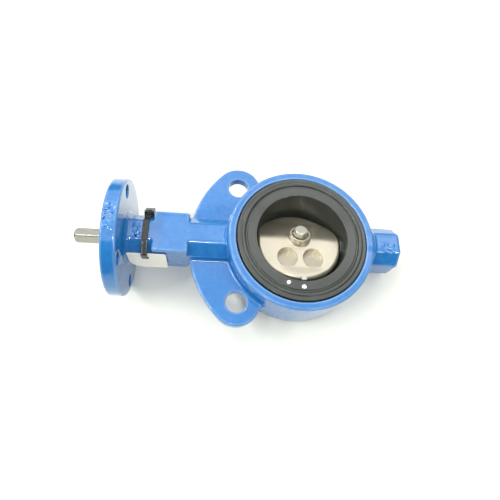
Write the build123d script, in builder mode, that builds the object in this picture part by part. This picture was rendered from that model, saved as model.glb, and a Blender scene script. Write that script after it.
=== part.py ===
from build123d import *
import os
from math import sin, cos, radians, sqrt

os.makedirs("parts", exist_ok=True)

# ---------------------------------------------------------------------------
# 3 in (DN80) resilient-seated wafer butterfly valve, bare stem.
# Frame: origin where the stem axis crosses the bore axis. +Z is the flow
# axis, -X points along the stem to the actuator pad, +X to the bottom boss.
# All lengths in millimetres.
# ---------------------------------------------------------------------------

# body ring
RING_R = 63.5            # outside radius, 5.00 in
RING_HALF = 23.0         # half the face-to-face of the casting
BORE_R = 56.6            # bore that holds the seat cartridge
BORE_CHAMFER = 0.9
RING_EDGE = 1.8          # rounding of the outer face edges

# flange-locating wings
WING_HALF = 4.5
WING_R = 96.5
EAR_C = 53.88            # 152.4 mm bolt circle at 45 degrees
EAR_R = 20.3
EAR_HOLE_R = 9.0
EAR_BLEND = 9.0

# octagonal neck, rectangular waist block and bottom boss
NECK_HALF_Z = 20.0
NECK_TOP_Y = 8.3
NECK_HALF_Y = 18.25
NECK_SIDE_Z = 9.5
BLOCK_X0, BLOCK_X1 = -125.6, -95.7
BLOCK_HALF_Y = 18.0
BOSS_X = 88.6
BOSS_HALF_Z = 21.0

# actuator pad
PAD_X0, PAD_X1 = -159.7, -147.6
PAD_R = 50.8
PAD_PCD_R = 41.275       # 3.25 in bolt circle
PAD_HOLE_R = 5.55        # 7/16 in holes

# stem bore in the casting
STEM_BORE_R = 8.0
STEM_BORE_END = 80.0     # blind end inside the bottom boss
CBORE_X = -150.0         # floor of the retainer counterbore
CBORE_R = 11.0
RING_GROOVE_R = 11.9
RING_GROOVE_X = (-155.4, -154.1)

# seat cartridge
SEAT_R = 39.5            # bore at the faces
SEAT_MID_R = 38.75       # bore at mid width, where the disc edge sweeps
SEAT_FACE = 24.0
SEAT_OD_R = 55.8
BACK_R0, BACK_R1 = 48.6, 56.3
BACK_HALF = 18.0
SEAT_STEM_R = 7.4        # stem passage through the backing ring
SEAT_FLAT_X = 36.95      # rubber flats that face the disc's hub ends
SEAT_FLAT_R = 10.5

# disc and stem
DISC_ANGLE = -22.0       # disc stands 22 degrees open
DISC_R = 38.35
DISC_END_X = 36.7        # hub flats at the seat
STEM_R = 6.35            # 1/2 in stem
STEM_SQ = 9.6            # across the drive flats
STEM_X0, STEM_X1 = -192.0, 78.0
SQ_X = -161.5            # the square starts just outside the pad
GROOVE_R = 5.0
GROOVE_X = (-152.0, -150.5)
SCREW_R = 3.0
SCREW_HOLE_R = 3.03
RIDGE_H = 12.1           # where the two slopes of the hub would meet
RIDGE_ROUND = 12.0       # rounding of that ridge
KNEE_Y, KNEE_H = 26.5, 4.0
BOSS_TOP = 16.8
BOSS_R = 9.25
BOSS_IN_R = 7.6
BOSS_FLOOR = 13.8
SCREW_TIP = -9.0

# tie and tag
TIE_X0, TIE_X1 = -133.4, -128.6

C, S = cos(radians(DISC_ANGLE)), sin(radians(DISC_ANGLE))
# The disc's own plane: its normal is +Z turned by DISC_ANGLE about +X.
DISC_PLANE = Plane(origin=(0, 0, 0), x_dir=(1, 0, 0), z_dir=(0, -S, C))
DISC_NORMAL = Axis((0, 0, 0), (0, -S, C))


def disc_plane(height):
    """The disc's plane moved along its own normal."""
    return Plane(origin=(0, -S * height, C * height), x_dir=(1, 0, 0), z_dir=(0, -S, C))


def cross_plane(x):
    """A plane square to the stem, turned with the disc: local x is the
    disc's Y, local y is the disc's normal, and it faces +X."""
    return Plane(origin=(x, 0, 0), x_dir=(0, C, S), z_dir=(1, 0, 0))


def from_stem(p):
    """Distance of a point from the stem axis."""
    return sqrt(p.Y**2 + p.Z**2)


def octagon(half_z, top_y, half_y, side_z):
    return [
        (top_y, half_z), (half_y, side_z), (half_y, -side_z), (top_y, -half_z),
        (-top_y, -half_z), (-half_y, -side_z), (-half_y, side_z), (-top_y, half_z),
    ]


# ---------------------------------------------------------------------------
# Body casting: ring, wings, neck, pad and bottom boss in one piece
# ---------------------------------------------------------------------------
with BuildPart() as valve_body:
    # ring
    with BuildSketch(Plane.XY.offset(-RING_HALF)):
        Circle(RING_R)
    extrude(amount=2 * RING_HALF)
    fillet(valve_body.edges().filter_by(GeomType.CIRCLE), radius=RING_EDGE)

    # wings with their ears
    with BuildSketch(Plane.XY.offset(-WING_HALF)) as wing_outline:
        Circle(WING_R)
        with BuildLine():
            Polyline((0, 0), (-140, 140), (-140, -140), (0, 0))
        make_face(mode=Mode.INTERSECT)
        with Locations((-EAR_C, EAR_C), (-EAR_C, -EAR_C)):
            Circle(EAR_R)
        Circle(RING_R - 0.5)
        inner = wing_outline.vertices().filter_by_position(Axis.X, -38, -30)
        fillet(inner, radius=EAR_BLEND)
    extrude(amount=2 * WING_HALF)

    # neck
    with BuildSketch(Plane.YZ.offset(PAD_X1 - 2)):
        Polygon(*octagon(NECK_HALF_Z, NECK_TOP_Y, NECK_HALF_Y, NECK_SIDE_Z), align=None)
    extrude(amount=-(PAD_X1 - 2) - 58)

    # bottom boss
    with BuildSketch(Plane.YZ.offset(58)):
        Polygon(*octagon(BOSS_HALF_Z, NECK_TOP_Y, NECK_HALF_Y, NECK_SIDE_Z), align=None)
    extrude(amount=BOSS_X - 58)
    boss_end = valve_body.faces().filter_by(Axis.X).sort_by(Axis.X)[-1]
    fillet(boss_end.edges(), radius=2.8)

# The waist block and the pad have their own edge roundings, so each is made
# apart and joined on.
with BuildPart() as waist_block:
    with BuildSketch(Plane.YZ.offset(BLOCK_X0)):
        Rectangle(2 * BLOCK_HALF_Y, 2 * NECK_HALF_Z)
    extrude(amount=BLOCK_X1 - BLOCK_X0)
    fillet(waist_block.edges(), radius=1.4)

with BuildPart() as pad:
    with BuildSketch(Plane.YZ.offset(PAD_X0)):
        Circle(PAD_R)
    extrude(amount=PAD_X1 - PAD_X0)
    fillet(pad.edges().filter_by(GeomType.CIRCLE).sort_by(Axis.X)[-1], radius=2.0)
    chamfer(pad.edges().filter_by(GeomType.CIRCLE).sort_by(Axis.X)[0], length=0.8)

with BuildPart() as casting:
    add(valve_body.part)
    add(waist_block.part)
    add(pad.part)

    # blends at the roots, where the castings flow together
    pad_root = (
        casting.edges()
        .filter_by(lambda e: abs(e.center().X - PAD_X1) < 0.05 and e.geom_type == GeomType.LINE)
    )
    fillet(pad_root, radius=4.0)

    # seat cartridge bore
    with BuildSketch(Plane.XY.offset(-RING_HALF - 1)):
        Circle(BORE_R)
    extrude(amount=2 * RING_HALF + 2, mode=Mode.SUBTRACT)
    bore_mouths = (
        casting.edges().filter_by(GeomType.CIRCLE)
        .filter_by(lambda e: abs(e.radius - BORE_R) < 0.01 and abs(abs(e.center().Z) - RING_HALF) < 0.05)
    )
    chamfer(bore_mouths, length=BORE_CHAMFER)

    # ear holes and pad bolt holes
    with BuildSketch(Plane.XY.offset(-WING_HALF - 5)):
        with Locations((-EAR_C, EAR_C), (-EAR_C, -EAR_C)):
            Circle(EAR_HOLE_R)
    extrude(amount=2 * WING_HALF + 10, mode=Mode.SUBTRACT)
    with BuildSketch(Plane.YZ.offset(PAD_X0 - 1)):
        with PolarLocations(PAD_PCD_R, 4, start_angle=45):
            Circle(PAD_HOLE_R)
    extrude(amount=PAD_X1 - PAD_X0 + 2, mode=Mode.SUBTRACT)

    # stem bore, open at the pad and blind in the bottom boss
    with BuildSketch(Plane.YZ.offset(PAD_X0 - 1)):
        Circle(STEM_BORE_R)
    extrude(amount=STEM_BORE_END - PAD_X0 + 1, mode=Mode.SUBTRACT)
    # retainer counterbore and the groove for the spiral ring
    with BuildSketch(Plane.YZ.offset(PAD_X0 - 1)):
        Circle(CBORE_R)
    extrude(amount=CBORE_X - PAD_X0 + 1, mode=Mode.SUBTRACT)
    with BuildSketch(Plane.YZ.offset(RING_GROOVE_X[0])):
        Circle(RING_GROOVE_R)
    extrude(amount=RING_GROOVE_X[1] - RING_GROOVE_X[0], mode=Mode.SUBTRACT)

casting.part.label = "valve_body"
export_step(casting.part, "parts/valve_body.step")

# ---------------------------------------------------------------------------
# Seat: a rigid backing ring inside a moulded rubber liner
# ---------------------------------------------------------------------------
with BuildPart() as seat_backing_ring:
    with BuildSketch(Plane.XY.offset(-BACK_HALF)):
        Circle(BACK_R1)
        Circle(BACK_R0, mode=Mode.SUBTRACT)
    extrude(amount=2 * BACK_HALF)
    with BuildSketch(Plane.YZ.offset(-BACK_R1 - 5)):
        Circle(SEAT_STEM_R)
    extrude(amount=2 * BACK_R1 + 10, mode=Mode.SUBTRACT)
seat_backing_ring.part.label = "seat_backing_ring"
export_step(seat_backing_ring.part, "parts/seat_backing_ring.step")

UP = [
    (SEAT_R, 22.9), (SEAT_R + 0.25, 23.6), (SEAT_R + 0.95, SEAT_FACE),
    (46.7, SEAT_FACE), (47.3, 23.3), (48.0, 23.0), (48.6, 23.3),
    (49.3, 24.3), (50.2, 24.8), (51.1, 24.8), (51.8, 24.4),
    (52.3, 23.8), (52.8, 23.65), (53.6, 23.8), (55.0, 23.8),
    (55.6, 23.5), (SEAT_OD_R, 23.0), (SEAT_OD_R, BACK_HALF + 0.1),
    (BACK_R0 - 0.05, BACK_HALF + 0.1),
]
with BuildPart() as seat_liner:
    with BuildSketch(Plane.XZ) as liner_section:
        with BuildLine():
            top = Polyline(*UP)
            Line((BACK_R0 - 0.05, BACK_HALF + 0.1), (BACK_R0 - 0.05, -BACK_HALF - 0.1))
            bottom = Polyline(*[(r, -z) for r, z in reversed(UP)])
            ThreePointArc((SEAT_R, -22.9), (SEAT_MID_R, 0), (SEAT_R, 22.9))
        make_face()
    revolve(axis=Axis.Z)
    # raised flats that seal on the hub ends of the disc
    for x in (-41.0, SEAT_FLAT_X):
        with BuildSketch(Plane.YZ.offset(x)):
            Circle(SEAT_FLAT_R)
        extrude(amount=41.0 - SEAT_FLAT_X)
    # stem passages through the rubber, with a groove for each stem O-ring
    with BuildSketch(Plane.YZ.offset(-BACK_R1 - 5)):
        Circle(STEM_R + 0.08)
    extrude(amount=2 * BACK_R1 + 10, mode=Mode.SUBTRACT)
    for x in (-46.4, 43.4):
        with BuildSketch(Plane.YZ.offset(x)):
            Circle(9.2)
        extrude(amount=3.0, mode=Mode.SUBTRACT)
seat_liner.part.label = "seat_liner"
export_step(seat_liner.part, "parts/seat_liner.step")

for name, x in (("seat_stem_o_ring_upper", -44.9), ("seat_stem_o_ring_lower", 44.9)):
    with BuildPart() as seat_o_ring:
        with BuildSketch(Plane.XZ) as section:
            with Locations((x, STEM_R + 1.4)):
                Circle(1.32)
        revolve(axis=Axis.X)
    seat_o_ring.part.label = name
    export_step(seat_o_ring.part, f"parts/{name}.step")

# ---------------------------------------------------------------------------
# Disc: lens section along the stem, trimmed by a sphere
# ---------------------------------------------------------------------------
with BuildPart() as disc:
    with BuildSketch(cross_plane(-DISC_END_X)) as lens:
        with BuildLine():
            l_top = Polyline(
                (-45, 3.0), (-KNEE_Y, KNEE_H), (0, RIDGE_H), (KNEE_Y, KNEE_H), (45, 3.0),
                (45, -3.0), (KNEE_Y, -KNEE_H), (0, -RIDGE_H), (-KNEE_Y, -KNEE_H), (-45, -3.0),
                close=True,
            )
        make_face()
        ridge = lens.vertices().filter_by(lambda v: abs(from_stem(v) - RIDGE_H) < 0.3)
        fillet(ridge, radius=RIDGE_ROUND)
        knees = lens.vertices().filter_by(lambda v: abs(from_stem(v) - sqrt(KNEE_Y**2 + KNEE_H**2)) < 0.3)
        fillet(knees, radius=8.0)
    extrude(amount=2 * DISC_END_X)
    # the hub's ends are broken where the slopes run out
    end_edges = disc.edges().filter_by(
        lambda e: abs(abs(e.center().X) - DISC_END_X) < 0.01 and from_stem(e.center()) < 43
    )
    fillet(end_edges, radius=1.6)
    # spherical edge
    with BuildSketch(DISC_PLANE) as ball_section:
        with BuildLine():
            CenterArc((0, 0), DISC_R, 0, 180)
            Line((-DISC_R, 0), (DISC_R, 0))
        make_face()
    revolve(axis=Axis.X, mode=Mode.INTERSECT)

    # boss for the disc screw
    with BuildSketch(disc_plane(4)):
        Circle(BOSS_R)
    extrude(amount=BOSS_TOP - 4)
    boss_rim = disc.edges().filter_by(GeomType.CIRCLE).sort_by(DISC_NORMAL)[-1]
    fillet(boss_rim, radius=0.5)
    with BuildSketch(disc_plane(BOSS_FLOOR)):
        Circle(BOSS_IN_R)
    extrude(amount=10, mode=Mode.SUBTRACT)

    # two milled pockets on one half of the face
    with BuildSketch(disc_plane(3.7)):
        with Locations((-11.2, -18.6), (11.2, -18.6)):
            Circle(8.8)
    extrude(amount=12, mode=Mode.SUBTRACT)

    # stem bore and the screw hole, blind in the far wall
    with BuildSketch(cross_plane(-60)):
        Circle(STEM_R + 0.04)
    extrude(amount=120, mode=Mode.SUBTRACT)
    with BuildSketch(disc_plane(SCREW_TIP - 0.6)):
        Circle(SCREW_HOLE_R)
    extrude(amount=30, mode=Mode.SUBTRACT)
disc.part.label = "disc"
export_step(disc.part, "parts/disc.step")

# ---------------------------------------------------------------------------
# Stem: one piece, round through the valve and square at the drive end
# ---------------------------------------------------------------------------
with BuildPart() as stem:
    with BuildSketch(cross_plane(SQ_X)):
        Circle(STEM_R)
    extrude(amount=STEM_X1 - SQ_X)
    chamfer(stem.edges().filter_by(GeomType.CIRCLE).sort_by(Axis.X)[-1], length=0.8)
    with BuildSketch(cross_plane(STEM_X0)) as drive_square:
        Rectangle(STEM_SQ, STEM_SQ)
        Circle(STEM_R + 0.15, mode=Mode.INTERSECT)
    extrude(amount=SQ_X - STEM_X0)
    # conical lead-in on the drive end
    with BuildSketch(Plane.XY) as lead_in:
        with BuildLine():
            Polyline((STEM_X0 - 1, 4.6), (STEM_X0 - 1, 12), (STEM_X0 + 6, 12), (STEM_X0 + 2.5, 6.7), (STEM_X0, 5.2), (STEM_X0 - 1, 4.6))
        make_face()
    revolve(axis=Axis.X, mode=Mode.SUBTRACT)
    # groove for the split thrust collar
    with BuildSketch(cross_plane(GROOVE_X[0])):
        Circle(STEM_R + 1)
        Circle(GROOVE_R, mode=Mode.SUBTRACT)
    extrude(amount=GROOVE_X[1] - GROOVE_X[0], mode=Mode.SUBTRACT)
    # cross hole for the disc screw
    with BuildSketch(disc_plane(-12)):
        Circle(SCREW_HOLE_R)
    extrude(amount=24, mode=Mode.SUBTRACT)
stem.part.label = "stem"
export_step(stem.part, "parts/stem.step")

# ---------------------------------------------------------------------------
# Disc screw with its washer and O-ring
# ---------------------------------------------------------------------------
WASHER_Z0 = 16.0
HEAD_Z0, HEAD_Z1 = 17.3, 21.7
with BuildPart() as disc_screw:
    with BuildSketch(disc_plane(SCREW_TIP)):
        Circle(SCREW_R)
    extrude(amount=HEAD_Z0 - SCREW_TIP + 1)
    chamfer(disc_screw.edges().filter_by(GeomType.CIRCLE).sort_by(DISC_NORMAL)[0], length=0.6)
    with BuildSketch(disc_plane(HEAD_Z0)):
        RegularPolygon(5.0, 6, major_radius=False, rotation=8)
    extrude(amount=HEAD_Z1 - HEAD_Z0)
    # the head's corners are turned off at the top
    with BuildSketch(cross_plane(0)) as crown:
        with BuildLine():
            Polyline((4.7, HEAD_Z1 + 0.01), (7.0, HEAD_Z1 + 0.01), (7.0, HEAD_Z1 - 1.35), (4.7, HEAD_Z1 + 0.01))
        make_face()
    revolve(axis=DISC_NORMAL, mode=Mode.SUBTRACT)
disc_screw.part.label = "disc_screw"
export_step(disc_screw.part, "parts/disc_screw.step")

with BuildPart() as disc_screw_washer:
    with BuildSketch(disc_plane(WASHER_Z0)):
        Circle(6.3)
        Circle(SCREW_R + 0.15, mode=Mode.SUBTRACT)
    extrude(amount=HEAD_Z0 - WASHER_Z0)
    fillet(disc_screw_washer.edges().filter_by(GeomType.CIRCLE).group_by(SortBy.RADIUS)[-1], radius=0.25)
disc_screw_washer.part.label = "disc_screw_washer"
export_step(disc_screw_washer.part, "parts/disc_screw_washer.step")

with BuildPart() as disc_screw_o_ring:
    with BuildSketch(cross_plane(0)):
        with Locations((4.3, BOSS_FLOOR + 1.1)):
            Circle(1.08)
    revolve(axis=DISC_NORMAL)
disc_screw_o_ring.part.label = "disc_screw_o_ring"
export_step(disc_screw_o_ring.part, "parts/disc_screw_o_ring.step")

# ---------------------------------------------------------------------------
# Stem bushings, shaft seal and the parts that keep the stem in the body
# ---------------------------------------------------------------------------
for name, x0, x1 in (
    ("lower_neck_bushing", -76.0, -59.0),
    ("upper_neck_bushing", -140.0, -120.0),
    ("bottom_bushing", 59.0, 76.0),
):
    with BuildPart() as bushing:
        with BuildSketch(Plane.YZ.offset(x0)):
            Circle(STEM_BORE_R - 0.01)
            Circle(STEM_R + 0.06, mode=Mode.SUBTRACT)
        extrude(amount=x1 - x0)
        chamfer(bushing.edges().filter_by(GeomType.CIRCLE).group_by(SortBy.RADIUS)[-1], length=0.4)
    bushing.part.label = name
    export_step(bushing.part, f"parts/{name}.step")

with BuildPart() as stem_u_cup:
    with BuildSketch(Plane.XZ) as lip_section:
        with BuildLine():
            Polyline(
                (-145.6, STEM_R + 0.08), (-140.6, STEM_R + 0.08), (-140.6, STEM_R + 0.55), (-144.0, STEM_R + 0.66),
                (-144.0, STEM_BORE_R - 0.66), (-140.6, STEM_BORE_R - 0.55), (-140.6, STEM_BORE_R - 0.04),
                (-145.6, STEM_BORE_R - 0.04), close=True,
            )
        make_face()
    revolve(axis=Axis.X)
stem_u_cup.part.label = "stem_u_cup_seal"
export_step(stem_u_cup.part, "parts/stem_u_cup_seal.step")

with BuildPart() as dust_o_ring:
    with BuildSketch(Plane.XZ):
        with Locations((-147.6, (STEM_R + STEM_BORE_R) / 2)):
            Circle(0.76)
    revolve(axis=Axis.X)
dust_o_ring.part.label = "stem_dust_o_ring"
export_step(dust_o_ring.part, "parts/stem_dust_o_ring.step")

# split collar that sits in the stem groove and turns with it
with BuildPart() as stem_split_collar:
    with BuildSketch(cross_plane(GROOVE_X[0] + 0.1)):
        Circle(9.4)
        Circle(GROOVE_R + 0.05, mode=Mode.SUBTRACT)
        with Locations((0, -7)):
            Rectangle(8.6, 14, mode=Mode.SUBTRACT)
    extrude(amount=GROOVE_X[1] - GROOVE_X[0] - 0.2)
stem_split_collar.part.label = "stem_split_collar"
export_step(stem_split_collar.part, "parts/stem_split_collar.step")

with BuildPart() as thrust_washer:
    with BuildSketch(Plane.YZ.offset(-153.9)):
        Circle(CBORE_R - 0.1)
        Circle(STEM_R + 0.35, mode=Mode.SUBTRACT)
    extrude(amount=1.6)
thrust_washer.part.label = "thrust_washer"
export_step(thrust_washer.part, "parts/thrust_washer.step")

with BuildPart() as retaining_ring:
    with BuildSketch(Plane.YZ.offset(RING_GROOVE_X[0] + 0.1)):
        Circle(RING_GROOVE_R - 0.1)
        Circle(9.3, mode=Mode.SUBTRACT)
        # the gap between the ring's ends, with two lugs that the pliers grip
        with Locations((0, 10)):
            Rectangle(4.4, 6, mode=Mode.SUBTRACT)
    extrude(amount=RING_GROOVE_X[1] - RING_GROOVE_X[0] - 0.2)
retaining_ring.part.label = "stem_retaining_ring"
export_step(retaining_ring.part, "parts/stem_retaining_ring.step")

# ---------------------------------------------------------------------------
# Blank tag hung on the neck by a cable tie
# ---------------------------------------------------------------------------
TAG_TILT = 3.5
CT, ST = cos(radians(TAG_TILT)), sin(radians(TAG_TILT))
TAG_PLANE = Plane(origin=(-130.0, -18.66, 14.4), x_dir=(1, 0, 0), z_dir=(0, -CT, ST))
with BuildPart() as blank_tag:
    with BuildSketch(TAG_PLANE) as tag_outline:
        with BuildLine():
            Polyline((-15.4, 0.6), (16.3, -0.1), (16.9, -27.6), (-11.6, -27.6), (-15.2, -21.0), (-15.9, -10), close=True)
        make_face()
        fillet(tag_outline.vertices(), radius=2.2)
        # slot for the tie
        with Locations((-0.9, -8.3)):
            Rectangle(6.0, 3.7, mode=Mode.SUBTRACT)
    extrude(amount=0.7)
blank_tag.part.label = "blank_tag"
export_step(blank_tag.part, "parts/blank_tag.step")

# The strap lies on the neck, passes over the tag's top edge and goes back in
# through the slot.
G = 0.12
T = 1.2
INNER = [
    (NECK_TOP_Y + 0.05, NECK_HALF_Z + G), (NECK_HALF_Y + G, NECK_SIDE_Z + 0.05),
    (NECK_HALF_Y + G, -NECK_SIDE_Z - 0.05), (NECK_TOP_Y + 0.05, -NECK_HALF_Z - G),
    (-NECK_TOP_Y - 0.05, -NECK_HALF_Z - G), (-NECK_HALF_Y - G, -NECK_SIDE_Z - 0.05),
    (-NECK_HALF_Y - G, 5.6), (-20.25, 8.0), (-19.8, 14.9), (-18.6, 15.35), (-NECK_TOP_Y - 0.05, NECK_HALF_Z + G),
]
OUTER = [
    (NECK_TOP_Y + 0.55, NECK_HALF_Z + G + T), (NECK_HALF_Y + G + T, NECK_SIDE_Z + 0.55),
    (NECK_HALF_Y + G + T, -NECK_SIDE_Z - 0.55), (NECK_TOP_Y + 0.55, -NECK_HALF_Z - G - T),
    (-NECK_TOP_Y - 0.55, -NECK_HALF_Z - G - T), (-NECK_HALF_Y - G - T + 0.42, -NECK_SIDE_Z - 0.95),
    (-NECK_HALF_Y - G - 0.95, 4.9), (-21.4, 7.6), (-21.0, 15.4), (-19.1, 16.4), (-NECK_TOP_Y - 0.3, NECK_HALF_Z + G + T),
]
with BuildPart() as cable_tie:
    with BuildSketch(Plane.YZ.offset(TIE_X0)):
        Polygon(*OUTER, align=None)
        Polygon(*INNER, align=None, mode=Mode.SUBTRACT)
    extrude(amount=TIE_X1 - TIE_X0)
    # ratchet head on the far upper flat, with the cut end of the strap
    NY, NZ = 0.726, 0.688
    with BuildSketch(Plane(origin=(-131.0, 15.6 + NY * 0.6, 12.35 + NZ * 0.6), x_dir=(1, 0, 0), z_dir=(0, NY, NZ))):
        with Locations((0.9, 1.6)):
            Rectangle(8.2, 9.8)
    extrude(amount=5.6)
    head_top = cable_tie.faces().sort_by(Axis((0, 0, 0), (0, NY, NZ)))[-1]
    fillet(head_top.edges(), radius=0.8)
cable_tie.part.label = "cable_tie"
export_step(cable_tie.part, "parts/cable_tie.step")
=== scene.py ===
import bpy
import bmesh
import math
import numpy as np
from mathutils import Matrix, Vector


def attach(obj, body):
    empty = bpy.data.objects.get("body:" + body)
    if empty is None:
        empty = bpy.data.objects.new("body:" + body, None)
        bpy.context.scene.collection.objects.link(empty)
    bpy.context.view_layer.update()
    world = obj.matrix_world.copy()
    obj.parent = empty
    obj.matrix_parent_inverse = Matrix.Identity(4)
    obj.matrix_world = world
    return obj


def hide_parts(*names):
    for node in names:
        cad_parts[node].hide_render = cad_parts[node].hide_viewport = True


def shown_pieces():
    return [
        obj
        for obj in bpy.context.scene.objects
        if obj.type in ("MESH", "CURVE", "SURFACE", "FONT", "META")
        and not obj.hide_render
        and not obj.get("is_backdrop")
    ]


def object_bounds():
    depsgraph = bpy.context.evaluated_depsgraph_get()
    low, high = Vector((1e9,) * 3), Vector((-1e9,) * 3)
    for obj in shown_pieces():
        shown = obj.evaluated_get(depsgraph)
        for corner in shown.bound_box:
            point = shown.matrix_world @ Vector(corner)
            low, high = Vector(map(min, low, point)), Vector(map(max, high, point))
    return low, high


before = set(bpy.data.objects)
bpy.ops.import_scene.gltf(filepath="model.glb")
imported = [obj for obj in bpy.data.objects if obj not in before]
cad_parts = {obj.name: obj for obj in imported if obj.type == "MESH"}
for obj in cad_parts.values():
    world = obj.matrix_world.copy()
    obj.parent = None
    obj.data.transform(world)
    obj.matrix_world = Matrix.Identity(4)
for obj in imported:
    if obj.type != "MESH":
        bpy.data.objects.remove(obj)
CAD_LO, CAD_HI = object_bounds()
scene = bpy.context.scene
COL = scene.collection
HOUSING, ROTOR = "housing", "disc_and_stem"

# ----------------------------------------------------------------------------
# Camera at the photograph's angle
# ----------------------------------------------------------------------------
right = Vector((0.993098, 0.010233, 0.116842))
up = Vector((-0.052093, 0.931025, 0.361218))
back = Vector((-0.105086, -0.364811, 0.925132))
cam_data = bpy.data.cameras.new("camera")
cam_data.sensor_width = 36.0
cam_data.lens = 394.2436 / 500.0 * 36.0
cam_data.clip_start, cam_data.clip_end = 0.01, 20.0
cam = bpy.data.objects.new("camera", cam_data)
COL.objects.link(cam)
cam.matrix_world = Matrix((
    (right.x, up.x, back.x, -0.0789836),
    (right.y, up.y, back.y, -0.1330252),
    (right.z, up.z, back.z, 0.3237233),
    (0, 0, 0, 1),
))
scene.camera = cam


# ----------------------------------------------------------------------------
# Distance-field modelling: the pieces that are cast, moulded or machined are
# described by distance functions in millimetres and meshed with quads
# ----------------------------------------------------------------------------
def rcyl(rho, t, R, t0, t1, e):
    """Round bar of radius R from t0 to t1 with its edges rounded by e."""
    a = rho - (R - e)
    b = np.abs(t - (t0 + t1) / 2) - ((t1 - t0) / 2 - e)
    return np.minimum(np.maximum(a, b), 0) + np.hypot(np.maximum(a, 0), np.maximum(b, 0)) - e


def rbox(dx, dy, dz, e):
    """Box from its three face distances, edges rounded by e."""
    a, b, c = dx + e, dy + e, dz + e
    out = np.sqrt(np.maximum(a, 0) ** 2 + np.maximum(b, 0) ** 2 + np.maximum(c, 0) ** 2)
    return out + np.minimum(np.maximum(a, np.maximum(b, c)), 0) - e


def join(a, b, r):
    """Union with a fillet of radius r where the two meet."""
    return np.maximum(r, np.minimum(a, b)) - np.hypot(np.maximum(r - a, 0), np.maximum(r - b, 0))


def meet(a, b, r):
    """Intersection with the new edge rounded by r."""
    return np.minimum(-r, np.maximum(a, b)) + np.hypot(np.maximum(r + a, 0), np.maximum(r + b, 0))


def cut(a, b, r):
    return meet(a, -b, r)


def noise(x, y, z, size, seed):
    """Smooth value noise from -1 to 1, the same every run."""
    x, y, z = x / size, y / size, z / size
    xi, yi, zi = np.floor(x), np.floor(y), np.floor(z)
    fx, fy, fz = x - xi, y - yi, z - zi
    fx, fy, fz = (f * f * f * (f * (f * 6 - 15) + 10) for f in (fx, fy, fz))
    xi, yi, zi = xi.astype(np.int64), yi.astype(np.int64), zi.astype(np.int64)

    def h(i, j, k):
        n = (i * 374761393 + j * 668265263 + k * 2147483647 + seed * 974634777) & 0xFFFFFFFF
        n = ((n ^ (n >> 13)) * 1274126177) & 0xFFFFFFFF
        n = ((n ^ (n >> 16)) * 2246822519) & 0xFFFFFFFF
        return ((n ^ (n >> 15)) & 0xFFFF) / 32767.5 - 1.0

    out = 0.0
    for i in (0, 1):
        for j in (0, 1):
            for k in (0, 1):
                w = (fx if i else 1 - fx) * (fy if j else 1 - fy) * (fz if k else 1 - fz)
                out = out + w * h(xi + i, yi + j, zi + k)
    return out


def ramp(v, a, b):
    t = np.clip((v - a) / (b - a), 0, 1)
    return t * t * (3 - 2 * t)


def nets(f, lo, hi, step):
    """Quad mesh of the surface f = 0 inside the box lo..hi."""
    axes = [np.arange(lo[i], hi[i] + step, step, dtype=np.float64) for i in range(3)]
    n = [len(a) for a in axes]
    S = np.empty(n, np.float32)
    slab = max(1, int(400000 / (n[1] * n[2])))
    for i in range(0, n[0], slab):
        g = np.meshgrid(axes[0][i:i + slab], axes[1], axes[2], indexing="ij")
        S[i:i + slab] = f(*[q.ravel() for q in g]).reshape(g[0].shape)
    S[S == 0] = 1e-6
    neg = S < 0
    c = [m - 1 for m in n]
    pos = np.zeros(c + [3], np.float32)
    cnt = np.zeros(c, np.float32)
    base = [slice(0, m) for m in c]
    for ax in range(3):
        o1, o2 = [a for a in range(3) if a != ax]
        for d1 in (0, 1):
            for d2 in (0, 1):
                s0 = list(base)
                s0[o1] = slice(d1, d1 + c[o1])
                s0[o2] = slice(d2, d2 + c[o2])
                s1 = list(s0)
                s1[ax] = slice(1, 1 + c[ax])
                a, b = S[tuple(s0)], S[tuple(s1)]
                hit = (a < 0) != (b < 0)
                t = np.where(hit, a / np.where(hit, a - b, 1), 0)
                pos[..., ax] += t
                pos[..., o1] += hit * d1
                pos[..., o2] += hit * d2
                cnt += hit
    live = cnt > 0
    idx = -np.ones(c, np.int64)
    idx[live] = np.arange(live.sum())
    where = np.argwhere(live)
    verts = (where + pos[live] / cnt[live][:, None]) * step + np.array(lo)
    quads = []
    for ax in range(3):
        o1, o2 = [a for a in range(3) if a != ax]
        s0 = [slice(1, m) for m in c]
        s0[ax] = slice(0, c[ax])
        s1 = list(s0)
        s1[ax] = slice(1, 1 + c[ax])
        a, b = neg[tuple(s0)], neg[tuple(s1)]
        e = np.argwhere(a != b)
        first = a[tuple(e.T)]
        e = e + np.array([0 if k == ax else 1 for k in range(3)])

        def at(d1, d2):
            q = e.copy()
            q[:, o1] -= d1
            q[:, o2] -= d2
            return idx[tuple(q.T)]

        q = np.stack([at(1, 1), at(0, 1), at(0, 0), at(1, 0)], 1)
        flip = first if ax != 1 else ~first
        q[~flip] = q[~flip][:, ::-1]
        quads.append(q)
    quads = np.concatenate(quads)
    return verts, quads[(quads >= 0).all(1)]


def grad(f, V, e):
    k = np.array([[1, -1, -1], [-1, -1, 1], [-1, 1, -1], [1, 1, 1]], float)
    g = np.zeros_like(V)
    for s in k:
        P = V + s * e
        g += s * f(P[:, 0], P[:, 1], P[:, 2])[:, None]
    return g / (4 * e)


def settle(f, V, step, rounds=4):
    """Move the vertices onto the surface."""
    for _ in range(rounds):
        d = f(V[:, 0], V[:, 1], V[:, 2])
        g = grad(f, V, 0.03)
        m = -(d / np.maximum((g * g).sum(1), 0.2))[:, None] * g
        n = np.linalg.norm(m, axis=1, keepdims=True)
        V = V + m * np.minimum(1, 0.5 * step / np.maximum(n, 1e-9))
    return V


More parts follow.
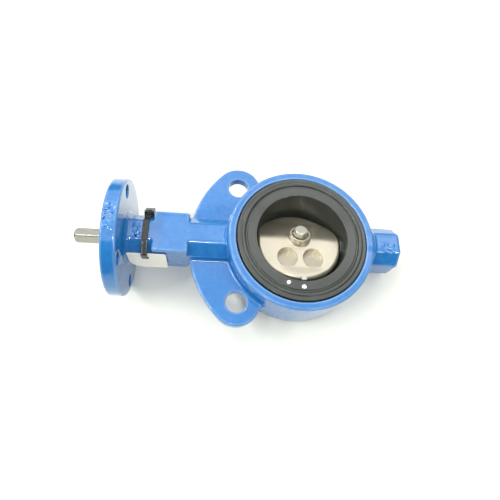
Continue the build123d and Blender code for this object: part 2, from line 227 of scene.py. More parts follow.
def mesh_object(name, V, F, N=None, mat=None, turn=None):
    """Object from millimetre vertices; turn is a 3x3 matrix applied first."""
    if turn is not None:
        V = V @ turn.T
        N = None if N is None else N @ turn.T
    me = bpy.data.meshes.new(name)
    V = np.asarray(V, np.float64) / 1000
    F = np.asarray(F)
    me.vertices.add(len(V))
    me.vertices.foreach_set("co", V.ravel())
    me.loops.add(F.size)
    me.loops.foreach_set("vertex_index", F.ravel().astype(np.int32))
    me.polygons.add(len(F))
    me.polygons.foreach_set("loop_start", np.arange(0, F.size, F.shape[1], dtype=np.int32))
    me.polygons.foreach_set("loop_total", np.full(len(F), F.shape[1], np.int32))
    me.update(calc_edges=True)
    me.validate()
    me.polygons.foreach_set("use_smooth", np.ones(len(me.polygons), bool))
    if N is not None:
        N = N / np.maximum(np.linalg.norm(N, axis=1, keepdims=True), 1e-9)
        me.normals_split_custom_set_from_vertices([tuple(n) for n in N])
    ob = bpy.data.objects.new(name, me)
    COL.objects.link(ob)
    if mat:
        me.materials.append(mat)
    return ob


def field_object(name, f, lo, hi, step, mat, turn=None, soft=0.12):
    V, F = nets(f, lo, hi, step)
    V = settle(f, V, step)
    N = grad(f, V, soft)
    return mesh_object(name, V, F, N, mat, turn)


def soft_min(a, b, k):
    h = np.maximum(k - np.abs(a - b), 0) / k
    return np.minimum(a, b) - h * h * k / 4


def rounded(points, radii):
    """Closed outline from corner points, each with its own rounding. Returns
    the points and their outward normals (outline counter-clockwise)."""
    P, N = [], []
    n = len(points)
    for i in range(n):
        a, b, c = (np.array(points[j % n], float) for j in (i - 1, i, i + 1))
        u, w = (b - a) / np.linalg.norm(b - a), (c - b) / np.linalg.norm(c - b)
        cr, dt = u[0] * w[1] - u[1] * w[0], u @ w
        ang = math.atan2(cr, dt)
        t = min(radii[i] * abs(math.tan(ang / 2)), 0.48 * np.linalg.norm(b - a), 0.48 * np.linalg.norm(c - b))
        r = t / max(abs(math.tan(ang / 2)), 1e-9)
        n0 = np.array([u[1], -u[0]])
        side = 1.0 if ang > 0 else -1.0
        centre = b - u * t - n0 * r * side
        m = max(2, int(abs(ang) / 0.22) + 2)
        for k in range(m):
            q = ang * k / (m - 1)
            d = np.array([n0[0] * math.cos(q) - n0[1] * math.sin(q), n0[0] * math.sin(q) + n0[1] * math.cos(q)])
            P.append(centre + d * r * side)
            N.append(d)
    return np.array(P), np.array(N)


def revolve(P, N, count, axis="z"):
    """Ring mesh of an outline in (radius, height)."""
    m = len(P)
    a = np.arange(count) * 2 * math.pi / count
    ca, sa = np.repeat(np.cos(a), m), np.repeat(np.sin(a), m)
    r, h = np.tile(P[:, 0], count), np.tile(P[:, 1], count)
    nr, nh = np.tile(N[:, 0], count), np.tile(N[:, 1], count)
    V, W = np.stack([r * ca, r * sa, h], 1), np.stack([nr * ca, nr * sa, nh], 1)
    i = np.arange(count)[:, None] * m
    j = (np.arange(count)[:, None] + 1) % count * m
    k, k1 = np.arange(m)[None, :], (np.arange(m)[None, :] + 1) % m
    F = np.stack([i + k, j + k, j + k1, i + k1], -1).reshape(-1, 4)
    if axis == "x":
        V, W = V[:, (2, 0, 1)], W[:, (2, 0, 1)]
    return V, F, W


def combine(parts):
    V, F, N, off = [], [], [], 0
    for v, f, n in parts:
        V.append(v)
        F.append(f + off)
        N.append(n)
        off += len(v)
    return np.concatenate(V), np.concatenate(F), np.concatenate(N)


# ----------------------------------------------------------------------------
# Materials
# ----------------------------------------------------------------------------
class Nodes:
    """Small helper that adds nodes to a material and links them."""

    def __init__(self, name):
        self.mat = bpy.data.materials.new(name)
        self.mat.use_nodes = True
        self.nt = self.mat.node_tree
        self.nt.nodes.clear()
        self.out = self.add("ShaderNodeOutputMaterial")
        self.bsdf = self.add("ShaderNodeBsdfPrincipled")
        self.link(self.bsdf.outputs["BSDF"], self.out.inputs["Surface"])
        self.coord = self.add("ShaderNodeTexCoord").outputs["Object"]

    def add(self, kind, **inputs):
        n = self.nt.nodes.new(kind)
        for k, v in inputs.items():
            if k in n.inputs:
                n.inputs[k].default_value = v
            else:
                setattr(n, k, v)
        return n

    def link(self, a, b):
        self.nt.links.new(a, b)

    def noise(self, scale, detail=3.0, rough=0.55, coord=None, distortion=0.0):
        n = self.add("ShaderNodeTexNoise")
        n.inputs["Scale"].default_value = scale
        n.inputs["Detail"].default_value = detail
        n.inputs["Roughness"].default_value = rough
        n.inputs["Distortion"].default_value = distortion
        self.link(coord or self.coord, n.inputs["Vector"])
        return n.outputs["Fac"]

    def ramp(self, fac, stops):
        n = self.add("ShaderNodeValToRGB")
        els = n.color_ramp.elements
        while len(els) > 1:
            els.remove(els[-1])
        els[0].position, els[0].color = stops[0][0], self.rgba(stops[0][1])
        for p, c in stops[1:]:
            e = els.new(p)
            e.color = self.rgba(c)
        self.link(fac, n.inputs["Fac"])
        return n.outputs["Color"]

    @staticmethod
    def rgba(c):
        return (c, c, c, 1) if isinstance(c, (int, float)) else (*c, 1)

    def mix(self, fac, a, b, blend="MIX"):
        n = self.add("ShaderNodeMix", data_type="RGBA", blend_type=blend)
        for s, v in ((n.inputs[0], fac), (n.inputs[6], a), (n.inputs[7], b)):
            if hasattr(v, "is_output"):
                self.link(v, s)
            elif s == n.inputs[0]:
                s.default_value = v
            else:
                s.default_value = self.rgba(v)
        return n.outputs[2]

    def math(self, op, a, b=0.0, clamp=False):
        n = self.add("ShaderNodeMath", operation=op, use_clamp=clamp)
        for s, v in ((n.inputs[0], a), (n.inputs[1], b)):
            if hasattr(v, "is_output"):
                self.link(v, s)
            else:
                s.default_value = v
        return n.outputs[0]

    def bump(self, height, strength, distance, normal=None):
        n = self.add("ShaderNodeBump")
        n.inputs["Strength"].default_value = strength
        n.inputs["Distance"].default_value = distance
        self.link(height, n.inputs["Height"])
        if normal is not None:
            self.link(normal, n.inputs["Normal"])
        return n.outputs["Normal"]

    def set(self, **kw):
        names = {"color": "Base Color", "rough": "Roughness", "metal": "Metallic", "normal": "Normal",
                 "coat": "Coat Weight", "coat_ior": "Coat IOR", "coat_rough": "Coat Roughness", "ior": "IOR", "spec": "Specular IOR Level",
                 "aniso": "Anisotropic", "sheen": "Sheen Weight", "sss": "Subsurface Weight"}
        for k, v in kw.items():
            s = self.bsdf.inputs[names[k]]
            if hasattr(v, "is_output"):
                self.link(v, s)
            elif k == "color":
                s.default_value = self.rgba(v)
            else:
                s.default_value = v
        return self.mat


def pointiness(m):
    return m.add("ShaderNodeNewGeometry").outputs["Pointiness"]


def enamel():
    m = Nodes("blue_enamel")
    big = m.noise(38, 3)
    mottle = m.noise(230, 4, 0.62)
    fine = m.noise(900, 2)
    mid = m.noise(330, 2, 0.5)
    base = m.ramp(big, [(0.3, (0.010, 0.158, 0.455)), (0.7, (0.016, 0.184, 0.500))])
    base = m.mix(m.math("MULTIPLY", m.ramp(mottle, [(0.34, 1.0), (0.55, 0.0)]), 0.50), base, (0.004, 0.118, 0.410))
    base = m.mix(m.math("MULTIPLY", m.ramp(mottle, [(0.55, 0.0), (0.72, 1.0)]), 0.20), base, (0.035, 0.235, 0.56))
    # painted highlight: lighter colour on the convex edges stands in for the white edge highlights
    edge_highlight_mask = m.ramp(pointiness(m), [(0.508, 0.0), (0.53, 0.45), (0.57, 1.0)])
    base = m.mix(m.math("MULTIPLY", edge_highlight_mask, 0.42), base, (0.38, 0.60, 0.90))
    # small chips and rubbed specks on the edges
    chip = m.noise(420, 4, 0.7)
    chip_mask = m.math("MULTIPLY", m.ramp(chip, [(0.62, 0.0), (0.66, 1.0)]), m.ramp(pointiness(m), [(0.53, 0.0), (0.6, 1.0)]))
    base = m.mix(m.math("MULTIPLY", chip_mask, 0.5), base, (0.45, 0.58, 0.75))
    # faint dust
    dust = m.noise(85, 5, 0.7)
    base = m.mix(m.math("MULTIPLY", m.ramp(dust, [(0.5, 0.0), (0.85, 1.0)]), 0.06), base, (0.35, 0.42, 0.52))
    rough = m.ramp(mid, [(0.3, 0.11), (0.75, 0.20)])
    n1 = m.bump(mid, 0.34, 0.00020)
    n2 = m.bump(fine, 0.10, 0.00004, n1)
    return m.set(color=base, rough=rough, normal=n2, coat=0.55, coat_rough=0.07, coat_ior=1.5, ior=1.6)


def rubber(name="seat_rubber", c0=(0.026, 0.032, 0.026), c1=(0.040, 0.047, 0.039)):
    m = Nodes(name)
    big = m.noise(60, 4, 0.6)
    fine = m.noise(1500, 3)
    bloom = m.noise(230, 5, 0.7)
    base = m.ramp(big, [(0.3, c0), (0.72, c1)])
    base = m.mix(m.math("MULTIPLY", m.ramp(bloom, [(0.55, 0.0), (0.8, 1.0)]), 0.12), base, (0.13, 0.13, 0.115))
    rough = m.ramp(bloom, [(0.3, 0.28), (0.75, 0.42)])
    n = m.bump(fine, 0.25, 0.00006)
    return m.set(color=base, rough=rough, normal=n, spec=0.45, coat=0.6, coat_rough=0.12, coat_ior=1.6)


def nickel():
    m = Nodes("disc_nickel")
    big = m.noise(45, 3, 0.55)
    mid = m.noise(240, 3, 0.5)
    fine = m.noise(1300, 2, 0.6)
    base = m.ramp(big, [(0.3, (0.53, 0.49, 0.390)), (0.72, (0.60, 0.555, 0.445))])
    # small specks and rubbed spots of a cast and plated surface
    speck = m.ramp(m.noise(430, 2, 0.5), [(0.70, 0.0), (0.76, 1.0)])
    base = m.mix(m.math("MULTIPLY", speck, 0.30), base, (0.30, 0.27, 0.20))
    bright = m.ramp(m.noise(380, 1, 0.4, distortion=0.4), [(0.76, 0.0), (0.80, 1.0)])
    base = m.mix(m.math("MULTIPLY", bright, 0.5), base, (0.85, 0.84, 0.78))
    rough = m.ramp(mid, [(0.3, 0.30), (0.75, 0.38)])
    n1 = m.bump(mid, 0.07, 0.00020)
    n2 = m.bump(fine, 0.08, 0.00003, n1)
    return m.set(color=base, rough=rough, metal=0.80, normal=n2)


def steel(name, c0, c1, r0, r1, stretch=(1, 1, 1), scale=300, strength=0.3, edge_highlight_amount=0.0):
    m = Nodes(name)
    mp = m.add("ShaderNodeMapping")
    mp.inputs["Scale"].default_value = stretch
    m.link(m.coord, mp.inputs["Vector"])
    streak = m.noise(scale, 4, 0.7, mp.outputs["Vector"])
    spot = m.noise(120, 4, 0.6)
    base = m.ramp(streak, [(0.25, c0), (0.75, c1)])
    base = m.mix(m.math("MULTIPLY", m.ramp(spot, [(0.6, 0.0), (0.8, 1.0)]), 0.3), base, tuple(0.55 * q for q in c0))
    if edge_highlight_amount:
        # painted highlight: brighter colour on the convex edges
        edge_highlight_mask = m.ramp(pointiness(m), [(0.51, 0.0), (0.56, 1.0)])
        base = m.mix(m.math("MULTIPLY", edge_highlight_mask, edge_highlight_amount), base, (0.80, 0.79, 0.72))
    rough = m.ramp(streak, [(0.3, r0), (0.75, r1)])
    n = m.bump(streak, strength, 0.0001)
    return m.set(color=base, rough=rough, metal=1.0, normal=n)


def plastic(name, c0, c1, r0, r1, scale=400, strength=0.2, distance=0.0001):
    m = Nodes(name)
    a = m.noise(scale, 3, 0.6)
    b = m.noise(50, 3, 0.6)
    base = m.ramp(b, [(0.3, c0), (0.7, c1)])
    rough = m.ramp(a, [(0.3, r0), (0.7, r1)])
    n = m.bump(a, strength, distance)
    return m.set(color=base, rough=rough, normal=n)


MAT = {
    "body": enamel(),
    "rubber": rubber(),
    "seal": rubber("seal_rubber", (0.025, 0.025, 0.025), (0.045, 0.045, 0.042)),
    "nickel": nickel(),
    # the stem gets a painted highlight along the edges of its square
    "stem": steel("stem_steel", (0.33, 0.325, 0.290), (0.42, 0.41, 0.37), 0.20, 0.30, (0.15, 1, 1), 500, edge_highlight_amount=0.7),
    "screw": steel("screw_steel", (0.66, 0.65, 0.55), (0.77, 0.76, 0.65), 0.26, 0.38),
    "washer": steel("washer_steel", (0.46, 0.45, 0.38), (0.56, 0.55, 0.47), 0.2, 0.32),
    "spring": steel("ring_steel", (0.38, 0.37, 0.34), (0.5, 0.49, 0.46), 0.25, 0.4),
    "brass": steel("collar_brass", (0.62, 0.43, 0.16), (0.74, 0.54, 0.24), 0.25, 0.4),
    "phenolic": plastic("backing_phenolic", (0.10, 0.045, 0.02), (0.15, 0.07, 0.03), 0.5, 0.7, 500),
    "acetal": plastic("bushing_acetal", (0.70, 0.69, 0.64), (0.76, 0.75, 0.70), 0.4, 0.55),
    "nylon": plastic("tie_nylon", (0.014, 0.018, 0.017), (0.026, 0.032, 0.029), 0.16, 0.28, 700),
    "tag": plastic("tag_plastic", (0.86, 0.84, 0.755), (0.92, 0.905, 0.83), 0.45, 0.62, 180, 0.3, 0.0001),
    "paint_dot": plastic("dot_paint", (0.90, 0.92, 0.90), (0.95, 0.96, 0.94), 0.35, 0.5, 900, 0.3),
}


def dress(node, mat):
    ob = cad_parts[node]
    ob.data.materials.clear()
    ob.data.materials.append(mat)


for node, key in (
    ("valve_body", "body"), ("seat_liner", "rubber"), ("seat_backing_ring", "phenolic"), ("disc", "nickel"),
    ("stem", "stem"), ("disc_screw", "screw"), ("disc_screw_washer", "washer"), ("disc_screw_o_ring", "seal"),
    ("lower_neck_bushing", "acetal"), ("upper_neck_bushing", "acetal"), ("bottom_bushing", "acetal"),
    ("stem_u_cup_seal", "seal"), ("stem_dust_o_ring", "seal"), ("seat_stem_o_ring_upper", "seal"),
    ("seat_stem_o_ring_lower", "seal"), ("stem_split_collar", "brass"), ("thrust_washer", "brass"),
    ("stem_retaining_ring", "spring"), ("cable_tie", "nylon"), ("blank_tag", "tag"),
):
    dress(node, MAT[key])


# ----------------------------------------------------------------------------
# Body casting
# ----------------------------------------------------------------------------
def body_shape(x, y, z):
    rho, ya, za = np.hypot(x, y), np.abs(y), np.abs(z)
    ring = rcyl(rho, z, 63.5, -23, 23, 2.2)
    flat = np.minimum(np.maximum(rho - 96.5, (ya + x) * 0.70711), np.hypot(x + 53.88, ya - 53.88) - 20.3)
    flat = join(flat, rho - 63.0, 9.0)
    wing = meet(flat, za - 4.5, 1.8)
    slant = ya * 0.7259 + za * 0.6878

    def octagon(h):
        return meet(meet(za - h, slant - (8.3 * 0.7259 + h * 0.6878), 1.8), ya - 18.25, 1.2)

    neck = np.maximum(octagon(20.0), np.abs(x + 103) - 46.5)
    block = rbox(np.abs(x + 110.65) - 14.95, ya - 18.0, za - 20.0, 2.0)
    waist = np.maximum(np.maximum(join(neck, block, 1.3), za - 20.0), ya - 18.25)
    boss = np.maximum(meet(octagon(21.0), x - 88.6, 3.0), 50 - x)
    pad = rcyl(np.hypot(y, z), x, 50.45, -159.7, -147.6, 1.8)
    # the fillet between ring and wing fades out where there is no wing
    out = np.clip((rho - 63.0 - flat) / 2.5, 0, 1)
    b = (1 - out) * np.minimum(ring, wing) + out * join(ring, wing, 2.6)
    b = join(b, waist, 2.0)
    b = join(b, pad, 5.0)
    return join(b, boss, 4.0)


def lumps(x, y, z):
    """Worn raised patches of the casting on the pad's rim, the neck and the
    boss. Returns how far inside such a patch a point is, 0 to 1, and the
    height of the raised spots there, 0 to 1."""
    w = np.exp(-((np.abs(x + 154.2) / 4.6) ** 4) - (np.abs(y + 2.0) / 11.5) ** 4) * (z > 45)
    w = w + np.exp(-((np.abs(x + 137.0) / 3.6) ** 4) - (np.abs(y + 1.0) / 8.0) ** 4) * ((z > 17) & (z < 24))
    w = w + np.exp(-((np.abs(x - 77.5) / 6.5) ** 4) - (np.abs(y + 5.0) / 4.2) ** 4) * ((z > 17) & (z < 24))
    n = noise(x, y, z, 1.9, 21) + 0.35 * noise(x, y, z, 3.6, 22)
    w = np.clip(w, 0, 1)
    return w, w * ramp(n, -0.15, 0.55)


def body_field(x, y, z):
    rho, ya, za = np.hypot(x, y), np.abs(y), np.abs(z)
    b = body_shape(x, y, z)
    # groove where the neck and the boss meet the ring
    b = cut(b, np.maximum(np.hypot(rho - 64.9, za - 20.3) - 1.0, np.maximum(ya - 9.5, x)), 0.5)
    # as-cast surface, calmer on the faces that are cut after casting
    rough = 0.35 + 0.65 * (1 - ramp(za, 22.0, 22.8)) * ramp(x, -159.4, -158.2) * ramp(np.abs(rho - 63.5), 0.2, 2.0)
    b = b + rough * (
        0.035 * (1 + noise(x, y, z, 17.0, 1)) + 0.03 * (1 + noise(x, y, z, 6.0, 2)) + 0.012 * (1 + noise(x, y, z, 2.4, 3))
    )
    patch, spots = lumps(x, y, z)
    b = b + 0.30 * patch * (x < -148) - 0.80 * spots
    b = np.maximum(b, np.where(np.abs(x + 153.6) < 9, np.hypot(y, z) - 50.76, -1e3))
    b = cut(b, rho - 56.6, 0.9)
    b = cut(b, np.hypot(x + 53.88, ya - 53.88) - 9.0, 0.9)
    b = cut(b, np.maximum(np.hypot(ya - 29.186, za - 29.186) - 5.55, x + 140), 0.6)
    rs = np.hypot(y, z)
    bore = np.minimum(np.maximum(rs - 8.0, x - 80), np.maximum(rs - 11.0, x + 150))
    bore = np.minimum(bore, np.maximum(rs - 11.9, np.abs(x + 154.75) - 0.65))
    return cut(b, bore, 0.35)


STEP = 0.95
body = field_object("body_casting", body_field, (-161.5, -76, -53), (89.5, 76, 53), STEP, MAT["body"])
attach(body, HOUSING)
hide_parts("valve_body")

# ----------------------------------------------------------------------------
# Disc: lens section, spherical edge, screw boss and two pockets, made in the
# disc's own frame and turned with it
# ----------------------------------------------------------------------------
ANG = math.radians(-22.0)
SA, CA = math.sin(ANG), math.cos(ANG)
TURN = np.array([[1, 0, 0], [0, CA, -SA], [0, SA, CA]])


def disc_field(x, y, z):
    ya, za = np.abs(y), np.abs(z)
    ridge = np.where(ya < 4.6, (ya * ya / 4.6 + 4.6) / 2, ya)
    hub = (za - (12.1 - 0.30566 * ridge)) * 0.9563
    plate = (za - (4.0 - 0.054 * (ya - 26.5))) * 0.9985
    plate = meet(plate, (za - (3.40 - 0.30 * (np.hypot(x, y) - 36.0))) * 0.958, 0.5)
    lens = soft_min(hub, plate, 0.45)
    d = meet(lens, np.abs(x) - 36.7, 1.7)
    d = meet(d, np.sqrt(x * x + y * y + z * z) - 38.35, 2.2)
    rho = np.hypot(x, y)
    d = join(d, rcyl(rho, z, 9.25, 0.0, 16.8, 0.55), 1.3)
    d = cut(d, np.maximum(rho - 7.3, 13.8 - z), 0.5)
    d = cut(d, np.maximum(np.hypot(np.abs(x) - 11.2, y + 18.6) - 8.7, 4.05 - z), 0.22)
    d = d + 0.02 * (1 + noise(x, y, z, 5.0, 21)) + 0.035 * (1 + noise(x, y, z, 13.0, 22))
    d = cut(d, np.hypot(y, z) - 6.39, 0.3)
    return cut(d, np.maximum(rho - 3.03, -9.6 - z), 0.2)


DSTEP = 0.55
disc = field_object("disc_plated", disc_field, (-39, -39, -13), (39, 39, 17.5), DSTEP, MAT["nickel"], TURN, 0.08)
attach(disc, ROTOR)
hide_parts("disc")


# ----------------------------------------------------------------------------
# Disc screw: hex head with turned-off corners on a plain shank
# ----------------------------------------------------------------------------
def screw_field(x, y, z):
    rho = np.hypot(x, y)
    hexa = -1e9
    for k in range(6):
        t = math.radians(8 + 60 * k)
        hexa = np.maximum(hexa, x * math.cos(t) + y * math.sin(t) - 5.3)
    head = meet(np.maximum(hexa, 17.3 - z), z - 21.7, 0.3)
    head = meet(head, (rho - 5.15) * 0.5 + (z - 21.7) * 0.866, 0.25)
    shank = rcyl(rho, z, 3.0, -9.0, 18.0, 0.5)
    out = np.minimum(head, shank)
    return out + 0.01 * noise(x, y, z, 1.1, 31)


screw = field_object(
    "disc_screw_hex", screw_field, (-6.4, -6.4, -9.6), (6.4, 6.4, 22.4), 0.28, MAT["screw"], TURN, 0.04
)
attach(screw, ROTOR)
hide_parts("disc_screw")

P, N = rounded([(3.15, 16.0), (6.3, 16.0), (6.3, 17.3), (3.15, 17.3)], [0.12, 0.3, 0.35, 0.12])
washer = mesh_object("disc_screw_washer_round", *revolve(P, N, 72), MAT["washer"], TURN)
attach(washer, ROTOR)
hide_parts("disc_screw_washer")


# ----------------------------------------------------------------------------
# Stem: round bar with a milled square and a turned lead-in
# ----------------------------------------------------------------------------
def stem_field(x, y, z):
    rs = np.hypot(y, z)
    bar = rs - 6.35
    square = meet(meet(np.abs(y) - 4.8, np.abs(z) - 4.8, 0.9), rs - 6.5, 0.25)
    body_ = np.where(x < -161.5, square, bar)
    step = np.maximum(np.minimum(np.maximum(bar, -161.5 - x), square), -1e3)
    d = np.minimum(step, body_)
    d = meet(d, -192.0 - x, 0.35)
    d = meet(d, (rs - 5.2 - (x + 192.0) * 0.6) * 0.857, 0.3)
    d = meet(d, x - 78.0, 0.8)
    d = cut(d, np.maximum(5.0 - rs, np.abs(x + 151.25) - 0.75), 0.08)
    return d + 0.012 * (1 + noise(x * 0.4, y, z, 1.9, 41))


stem = field_object("stem_bar", stem_field, (-192.6, -7, -7), (79, 7, 7), 0.5, MAT["stem"], TURN, 0.05)
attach(stem, ROTOR)
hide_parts("stem")

# ----------------------------------------------------------------------------
# Seat: revolved rubber section with its ribs, and the flats for the hub ends
# ----------------------------------------------------------------------------
FACE = [
    (38.95, 23.2, 0.9), (39.25, 24.0, 0.6), (46.8, 24.0, 0.35), (47.35, 23.05, 0.5), (48.35, 23.05, 0.5),
    (49.3, 24.45, 1.2), (50.2, 24.8, 1.5), (51.5, 24.75, 0.6), (52.15, 23.75, 0.6), (52.9, 23.6, 0.6),
    (53.5, 23.85, 0.5), (55.3, 23.85, 0.4), (55.75, 23.2, 0.3),
]
inner = [(39.1, 18.0, 30.0), (38.95, 9.0, 60.0)]
back = [(55.8, 18.1, 0.3), (48.55, 18.1, 0.4), (48.55, -18.1, 0.4), (55.8, -18.1, 0.3)]
low = [(r, -z, q) for r, z, q in reversed(FACE)]
inner_low = [(38.95, -9.0, 60.0), (39.1, -18.0, 30.0)]
corners = low + inner_low + [(38.75, 0.0, 80.0)] + inner[::-1] + FACE + back
corners = corners[::-1]
P, N = rounded([c[:2] for c in corners], [c[2] for c in corners])
liner_parts = [revolve(P, N, 320)]
for sx in (-1, 1):
    pts = [(6.5, 41.2), (6.5, 36.97), (10.5, 36.97), (10.5, 41.2)]
    if sx < 0:
        pts = [(r, -h) for r, h in pts][::-1]
    P, N = rounded(pts, [0.2, 0.5, 0.7, 0.2] if sx > 0 else [0.2, 0.7, 0.5, 0.2])
    liner_parts.append(revolve(P, N, 96, "x"))
V, F, N = combine(liner_parts)
centre = V[F].mean(1)
out = np.einsum("ij,ij->i", np.cross(V[F[:, 2]] - V[F[:, 0]], V[F[:, 3]] - V[F[:, 1]]), N[F].mean(1))
F[out < 0] = F[out < 0][:, ::-1]
liner = mesh_object("seat_liner_moulded", V, F, N, MAT["rubber"])
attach(liner, HOUSING)
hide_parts("seat_liner")


# ----------------------------------------------------------------------------
# Cable tie and blank tag
# ----------------------------------------------------------------------------
def path_distance(y, z, pts):
    best = np.full(np.shape(y), 1e9)
    n = len(pts)
    for i in range(n):
        (ay, az), (by, bz) = pts[i], pts[(i + 1) % n]
        dy, dz = by - ay, bz - az
        t = np.clip(((y - ay) * dy + (z - az) * dz) / (dy * dy + dz * dz), 0, 1)
        best = np.minimum(best, np.hypot(y - ay - t * dy, z - az - t * dz))
    return best


STRAP_CORNERS = [
    (8.55, 20.72), (18.97, 9.8), (18.97, -9.8), (8.55, -20.72), (-8.55, -20.72), (-18.85, -10.0), (-18.85, 5.2),
    (-20.85, 7.9), (-20.4, 15.1), (-18.9, 15.85), (-8.5, 20.72),
]


STRAP = [tuple(p) for p in rounded(STRAP_CORNERS[::-1], [2.6, 1.2, 0.5, 0.8, 0.8, 2.6, 2.6, 2.6, 2.6, 2.6, 2.6])[0]]


def tie_field(x, y, z):
    d = path_distance(y, z, STRAP)
    xc = np.abs(x + 131.0)
    strap = rbox(xc - 2.5, d - 0.6, d - 50, 0.25)
    # shallow channel between the strap's two rails, with fine teeth in it
    outer = np.hypot(y, z)
    ang = np.arctan2(z, y)
    tooth = 0.03 * np.sin(ang * 62)
    strap = cut(strap, np.maximum(xc - 1.35, 0.52 + tooth - d + 1e3 * (outer < 19.4)), 0.1)
    u = (y - 16.04) * 0.688 - (z - 12.76) * 0.726
    v = (y - 16.04) * 0.726 + (z - 12.76) * 0.688
    w = x + 130.1
    head = rbox(np.abs(w) - 4.05, np.abs(u - 1.6) - 4.85, np.abs(v - 2.8) - 2.75, 0.75)
    # strap slot through the head, the pawl window and the cut end of the strap
    head = cut(head, rbox(np.abs(w) - 2.75, np.abs(v - 3.0) - 0.95, u - 50, 0.2), 0.25)
    head = cut(head, rbox(np.abs(w) - 1.9, np.abs(u + 1.2) - 1.0, 3.4 - v, 0.2), 0.25)
    tail = rbox(np.abs(w) - 2.35, np.abs(v - 3.0) - 0.6, np.abs(u - 1.2) - 5.4, 0.2)
    return np.minimum(np.minimum(strap, head), tail)


tie = field_object("cable_tie_nylon", tie_field, (-135, -22.6, -22), (-125.2, 25.6, 22.6), 0.36, MAT["nylon"], None, 0.06)
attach(tie, HOUSING)
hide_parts("cable_tie")

TC, TS = math.cos(math.radians(3.5)), math.sin(math.radians(3.5))
TAG_TURN = np.array([[1, 0, 0], [0, TS, -TC], [0, TC, TS]])
TAG_AT = np.array([-130.0, -18.66, 14.4])


def tag_field(x, y, z):
    # outline in the tag's own plane: x along the stem, y up, z outwards
    d = rbox(np.abs(x - 0.4) - 16.1, np.abs(y + 13.65) - 13.8, np.full(np.shape(x), -50.0), 2.0)
    d = np.maximum(d, np.hypot(np.minimum(x + 2.5, 0), np.minimum(y + 14.6, 0)) - 13.0)
    # the lower edge curls outwards a little and the left end leans back
    curl = 0.30 * ramp(-y, 12, 27) + 0.12 * ramp(-x, 8, 15) * ramp(y, -26, -2)
    d = meet(d, np.abs(z - 0.35 - curl + 0.02) - 0.31, 0.2)
    slot = rbox(np.abs(x + 0.9) - 2.95, np.abs(y + 8.3) - 1.8, np.full(np.shape(x), -50.0), 0.5)
    return cut(d, slot, 0.1)


V, F = nets(tag_field, (-16.6, -28.4, -0.6), (17.4, 1.0, 1.6), 0.3)
V = settle(tag_field, V, 0.3)
N = grad(tag_field, V, 0.05)
tag = mesh_object("blank_tag_plate", V @ TAG_TURN.T + TAG_AT, F, N @ TAG_TURN.T, MAT["tag"])
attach(tag, HOUSING)
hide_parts("blank_tag")


# ----------------------------------------------------------------------------
# White paint spots: two on the seat's face and one on the disc's edge
# ----------------------------------------------------------------------------
def spot(name, centre, normal, rx, ry, body_name, seed):
    n = np.array(normal, float)
    n /= np.linalg.norm(n)
    t = np.cross(n, (0, 0, 1.0)) if abs(n[2]) < 0.9 else np.array([1.0, 0, 0])
    t = t - n * (t @ n)
    t /= np.linalg.norm(t)
    b = np.cross(n, t)
    rings, seg = 7, 40
    V, N = [np.array(centre, float) + n * 0.14], [n]
    for i in range(1, rings + 1):
        q = i / rings
        for k in range(seg):
            a = 2 * math.pi * k / seg
            wob = 1 + 0.06 * math.sin(2 * a + seed) + 0.05 * math.sin(3 * a + 2.1 * seed)
            h = 0.14 * (1 - q ** 4) - 0.04 * (q > 0.99)
            V.append(np.array(centre) + t * rx * q * wob * math.cos(a) + b * ry * q * wob * math.sin(a) + n * h)
            m = n + (t * math.cos(a) + b * math.sin(a)) * 0.25 * q ** 3
            N.append(m / np.linalg.norm(m))
    # flat underside, just inside the surface the paint sits on
    V.append(np.array(centre, float) - n * 0.04)
    N.append(-n)
    low, rim = len(V) - 1, 1 + (rings - 1) * seg
    tri, quad = [], []
    for k in range(seg):
        tri.append((0, 1 + k, 1 + (k + 1) % seg))
        tri.append((low, rim + (k + 1) % seg, rim + k))
    for i in range(rings - 1):
        for k in range(seg):
            p, r_ = 1 + i * seg, 1 + (i + 1) * seg
            quad.append((p + k, r_ + k, r_ + (k + 1) % seg, p + (k + 1) % seg))
    me = bpy.data.meshes.new(name)
    me.from_pydata([tuple(v / 1000) for v in V], [], tri + quad)
    me.validate()
    me.polygons.foreach_set("use_smooth", np.ones(len(me.polygons), bool))
    me.normals_split_custom_set_from_vertices([tuple(v) for v in N])
    ob = bpy.data.objects.new(name, me)
    COL.objects.link(ob)
    me.materials.append(MAT["paint_dot"])
    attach(ob, body_name)
    return ob


spot("paint_spot_left", (-13.1, -40.8, 24.0), (0, 0, 1), 1.75, 1.75, HOUSING, 0.4)
spot("paint_spot_right", (-0.5, -44.0, 24.0), (0, 0, 1), 1.95, 1.9, HOUSING, 1.7)
mark = TURN @ np.array([1.9, -38.02, 1.9])
spot("paint_spot_disc", mark, TURN @ np.array([0.05, -0.90, 0.44]), 2.4, 1.7, ROTOR, 2.9)

# ----------------------------------------------------------------------------
# Floor, light
# ----------------------------------------------------------------------------
lo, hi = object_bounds()


def resting_plane():
    """The flat surface the valve lies on: it touches the pad's rim and the far
    end, so it is found as the lower edge of the outline seen along Y."""
    pts = []
    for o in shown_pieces():
        n = len(o.data.vertices)
        co = np.empty(n * 3)
        o.data.vertices.foreach_get("co", co)
        co = co.reshape(-1, 3)
        pts.append(co[:, (0, 2)])
    pts = np.concatenate(pts)
    pts = pts[np.lexsort((pts[:, 1], pts[:, 0]))]
    hull = []
    for p in pts:
        while len(hull) > 1 and np.cross(hull[-1] - hull[-2], p - hull[-2]) <= 0:
            hull.pop()
        hull.append(p)
    for a, b in zip(hull, hull[1:]):
        if a[0] <= -0.03 <= b[0]:
            return a, b
    return hull[0], hull[-1]


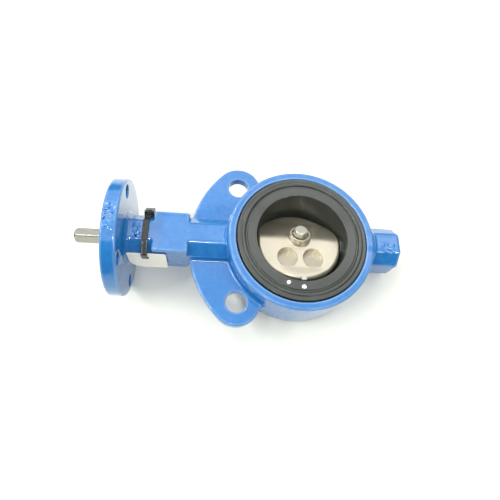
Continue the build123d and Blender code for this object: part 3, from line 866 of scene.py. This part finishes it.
a, b = resting_plane()
tilt = math.atan2(b[1] - a[1], b[0] - a[0])
me = bpy.data.meshes.new("floor")
bm = bmesh.new()
bmesh.ops.create_grid(bm, x_segments=8, y_segments=8, size=3.0)
bm.to_mesh(me)
bm.free()
floor = bpy.data.objects.new("floor", me)
COL.objects.link(floor)
floor.rotation_euler = (0, -tilt, 0)
floor.location = (a[0], 0, a[1] - 0.00002)
fm = Nodes("floor_white")
fm.set(color=fm.ramp(fm.noise(3, 2), [(0.3, (0.875, 0.885, 0.800)), (0.7, (0.895, 0.905, 0.820))]), rough=0.55)
me.materials.append(fm.mat)
floor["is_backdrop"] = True

world = bpy.data.worlds.new("studio")
scene.world = world
world.use_nodes = True
wn = world.node_tree
bg = wn.nodes["Background"]
bg.inputs["Color"].default_value = (1.0, 1.0, 0.94, 1)
bg.inputs["Strength"].default_value = 0.18


def area(name, loc, size, power, target=(0, 0, 0), color=(1, 1, 1), shape="RECTANGLE", size_y=None):
    d = bpy.data.lights.new(name, "AREA")
    d.shape = shape
    d.size = size
    if size_y:
        d.size_y = size_y
    d.energy = power
    d.color = color
    o = bpy.data.objects.new(name, d)
    COL.objects.link(o)
    o.location = loc
    o.rotation_mode = "QUATERNION"
    o.rotation_quaternion = (Vector(target) - Vector(loc)).to_track_quat("-Z", "Y")
    return o


def radiance(name, loc, size, size_y, level, target=(0, 0, 0)):
    """Soft box whose surface brightness is given instead of its power."""
    return area(name, loc, size, level * math.pi * size * size_y, target=target, size_y=size_y)


radiance("top_panel", (0.0, -0.17, 1.35), 2.0, 1.22, 1.05, target=(0.0, -0.17, 0.0))
radiance("top_rear_panel", (0.0, 0.56, 1.35), 2.0, 0.24, 1.9, target=(0.0, 0.56, 0.0))
radiance("back_high", (0.0, 0.70, 0.84), 1.9, 0.44, 1.7)
radiance("back_low", (0.45, 1.30, 0.66), 1.5, 0.57, 0.73, target=(0.45, 0.0, 0.0))
radiance("back_low_left", (-0.75, 1.30, 0.66), 0.9, 0.57, 1.25, target=(-0.75, 0.0, 0.0))
radiance("top_left_patch", (-0.46, 0.25, 1.30), 0.34, 0.60, 1.0, target=(-0.46, 0.25, 0.0))
radiance("rear_right_patch", (0.74, 0.57, 1.30), 0.38, 0.24, 0.9, target=(0.74, 0.57, 0.0))
radiance("left_strip", (-0.83, -0.16, 0.71), 0.56, 0.040, 76)
radiance("left_back_strip", (-0.60, 0.60, 0.70), 0.36, 0.050, 46)
radiance("front_strip", (-0.165, -0.47, 0.99), 0.27, 0.036, 90)
radiance("right_strip", (0.56, -0.62, 0.78), 0.46, 0.036, 44)

scene.view_settings.view_transform = "Standard"
scene.view_settings.look = "None"
scene.view_settings.exposure = 0.0

lo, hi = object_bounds()
print("BOXES cad", [round(float(v), 5) for v in (*CAD_LO, *CAD_HI)], "visual", [round(float(v), 5) for v in (*lo, *hi)])
